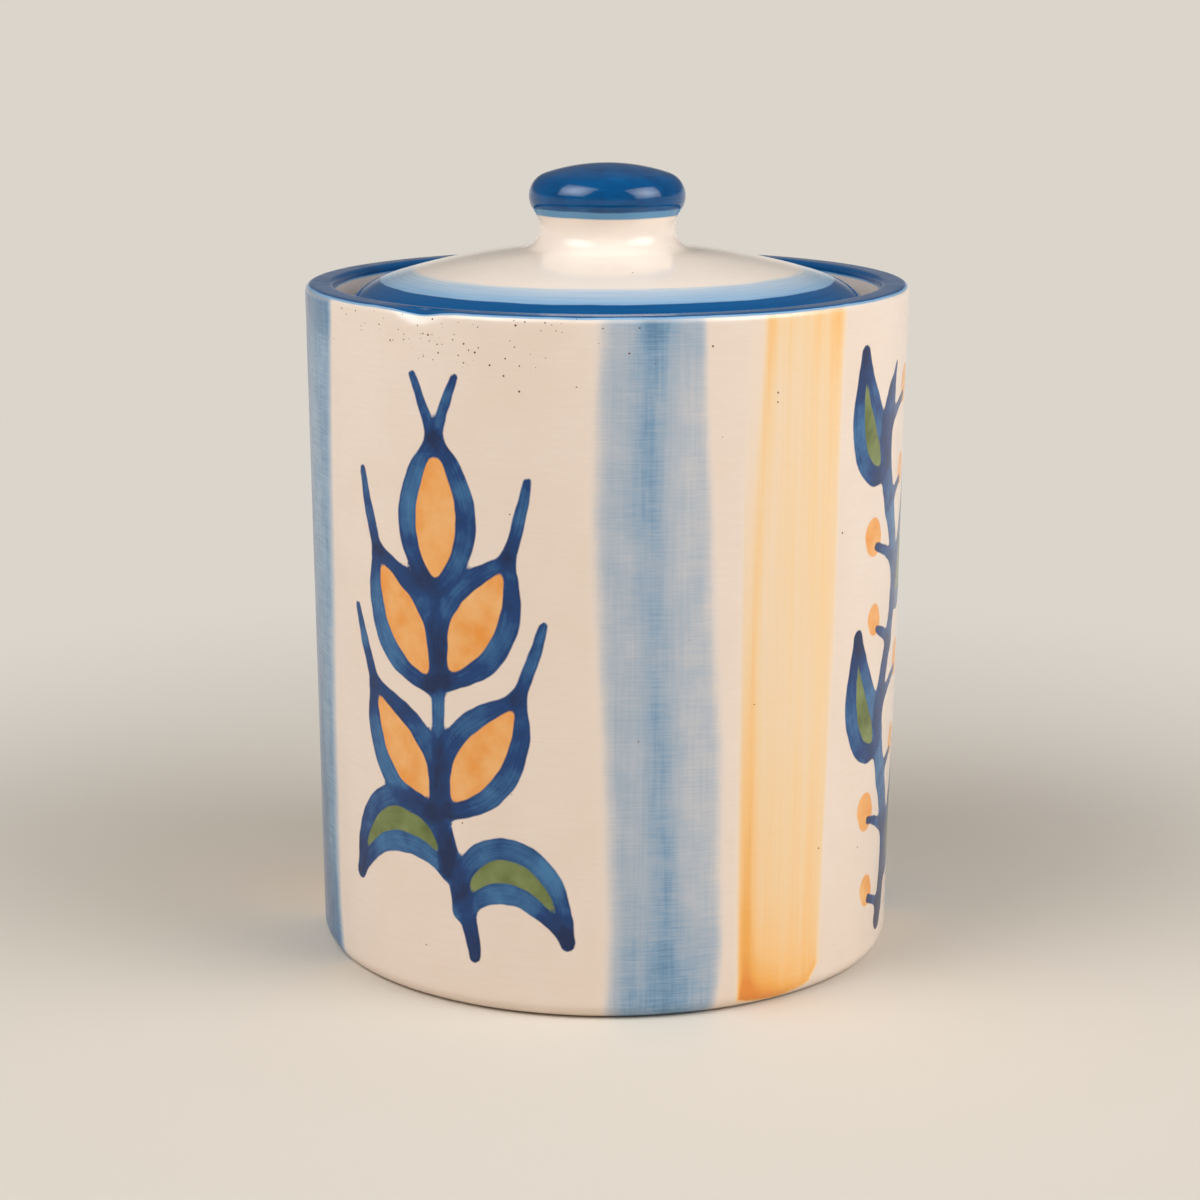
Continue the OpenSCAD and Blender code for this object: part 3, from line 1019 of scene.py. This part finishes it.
def matt_paper(stage):
    """Seamless background paper: matt, and running into the plain backdrop far out.

    Its fibre is drawn coarser than life, because real fibre is too fine to show.
    """
    material, tree, shader, place = new_material("matt_paper")
    shader["Base Color"].default_value = stage.paper
    shader["Roughness"].default_value = 0.9
    shader["Specular IOR Level"].default_value = 0.2
    fibre = cloud(tree, place, (2, 2, 2))
    tree.links.new(add(tree, "Bump", 0.1, 0.1 * MM, None, fibre), shader["Normal"])
    away = add(tree, "VectorMath", place, operation="LENGTH", out="Value")
    far_out = add(tree, "MapRange", away, *PAPER_FADE, 0.0, 1.0, interpolation_type="SMOOTHSTEP")
    seen = together(tree, "ADD", *(add(tree, "LightPath", out=ray) for ray in SHOWN_RAYS))
    shown = add(tree, "Math", far_out, seen, operation="MULTIPLY")
    plain = add(tree, "Emission", stage.backdrop, 1.0)
    surface = add(tree, "MixShader", shown, tree.nodes["Principled BSDF"].outputs["BSDF"], plain)
    tree.links.new(surface, tree.nodes["Material Output"].inputs["Surface"])
    return material


def paper_floor(stage):
    """A round floor of paper, wide enough for every view."""
    bm = bmesh.new()
    bmesh.ops.create_circle(bm, cap_ends=True, segments=FLOOR_SIDES, radius=FLOOR_RADIUS)
    floor = in_scene(bm, "paper_floor")
    floor.data.materials.append(matt_paper(stage))


def softbox(stage, name, turn, rise, watts):
    """A square lamp, brightest in its middle, that is aimed at half the height of the jar."""
    turn, rise = math.radians(turn), math.radians(rise)
    away = Vector((math.sin(turn) * math.cos(rise), -math.cos(turn) * math.cos(rise), math.sin(rise)))
    lamp = bpy.data.lights.new(name, "AREA")
    lamp.shape, lamp.size, lamp.energy = "SQUARE", stage.lamp_size, watts
    lamp.use_nodes = True
    tree = lamp.node_tree
    spot = add(tree, "Mapping", add(tree, "NewGeometry", out="Parametric"), (-0.5, -0.5, 0))
    spread = add(tree, "VectorMath", spot, operation="LENGTH", out="Value")
    bright = add(tree, "MapRange", spread, 0.0, 0.6, 2.0, 0.6, interpolation_type="SMOOTHSTEP")
    tree.links.new(bright, tree.nodes["Emission"].inputs["Strength"])
    box = bpy.data.objects.new(name, lamp)
    box.location = Vector((0, 0, 0.5 * JAR_TOP.z)) + stage.lamp_distance * away
    box.rotation_euler = away.to_track_quat("Z", "Y").to_euler()
    bpy.context.scene.collection.objects.link(box)


def studio_backdrop(stage):
    """A world that is pale at the floor and dims towards the ceiling, so that the glaze keeps its depth."""
    world = bpy.data.worlds.new("studio_backdrop")
    world.use_nodes = True
    tree = world.node_tree
    rise = add(tree, "SeparateXYZ", add(tree, "TexCoord", out="Generated"), out="Z")
    rise = add(tree, "MapRange", rise, 0.0, CEILING_RISE, 0.0, 1.0, interpolation_type="SMOOTHSTEP")
    shade = add(tree, "Mix", rise, stage.backdrop, stage.ceiling, data_type="RGBA")
    around = add(tree, "Background", shade, 1.0)
    tree.links.new(around, tree.nodes["World Output"].inputs["Surface"])
    return world


def photo_camera():
    """The camera, at the photograph's viewing angle."""
    lens = bpy.data.cameras.new("camera")
    lens.lens, lens.sensor_width = LENS_MM, SENSOR_MM
    camera = bpy.data.objects.new("camera", lens)
    camera.location = CAMERA_PLACE
    camera.rotation_euler = (CAMERA_TILT, 0, 0)
    bpy.context.scene.collection.objects.link(camera)
    return camera


class CANISTER_OT_jar(bpy.types.Operator):
    """Turns the jar, paints it and puts it in place of the plain solid"""

    bl_idname = "canister.jar"
    bl_label = "Jar"

    def execute(self, context):
        settings = context.scene.canister
        piece = jar_shape(settings.jar)
        paint_jar(piece.data, settings.jar)
        piece.data.materials.append(jar_glaze(settings.paint))
        piece.data.materials.append(bare_clay(settings.paint))
        lay_bare(piece.data, (0, LID_FOOT.z))
        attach(piece, "jar_body")
        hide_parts("jar")
        return {"FINISHED"}


class CANISTER_OT_lid(bpy.types.Operator):
    """Turns the lid, paints it and puts it in place of the plain solid"""

    bl_idname = "canister.lid"
    bl_label = "Lid"

    def execute(self, context):
        settings = context.scene.canister
        piece = lid_shape(settings.lid)
        paint_lid(piece.data)
        piece.data.materials.append(lid_glaze(settings.paint, settings.lid))
        piece.data.materials.append(bare_clay(settings.paint))
        lay_bare(piece.data, (LID_FOOT.z,))
        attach(piece, "lid_body")
        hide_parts("lid")
        return {"FINISHED"}


class CANISTER_OT_stage(bpy.types.Operator):
    """Sets the paper floor and its backdrop, two softboxes, the light from all round and the camera"""

    bl_idname = "canister.stage"
    bl_label = "Studio"

    def execute(self, context):
        scene, stage = context.scene, context.scene.canister.stage
        paper_floor(stage)
        softbox(stage, "left_softbox", *LEFT_SOFTBOX, stage.left_power)
        softbox(stage, "right_softbox", *RIGHT_SOFTBOX, stage.right_power)
        scene.world = studio_backdrop(stage)
        scene.camera = photo_camera()
        scene.view_settings.view_transform = "Standard"
        return {"FINISHED"}


class CANISTER_PT_pieces(bpy.types.Panel):
    """Buttons that build the canister"""

    bl_idname = "CANISTER_PT_pieces"
    bl_label = "Canister"
    bl_space_type = "VIEW_3D"
    bl_region_type = "UI"
    bl_category = "Canister"

    def draw(self, context):
        for operator in OPERATORS:
            self.layout.operator(operator.bl_idname)


OPERATORS = (CANISTER_OT_jar, CANISTER_OT_lid, CANISTER_OT_stage)
CLASSES = (
    JarSizes, LidSizes, PaintColours, StageSettings, CanisterSettings, *OPERATORS, CANISTER_PT_pieces,
)


def register():
    for cls in CLASSES:
        bpy.utils.register_class(cls)
    bpy.types.Scene.canister = PointerProperty(type=CanisterSettings)


def unregister():
    del bpy.types.Scene.canister
    for cls in reversed(CLASSES):
        bpy.utils.unregister_class(cls)


def main():
    """Builds the canister and its studio."""
    register()
    bpy.ops.canister.jar()
    bpy.ops.canister.lid()
    bpy.ops.canister.stage()


if __name__ == "__main__":
    main()
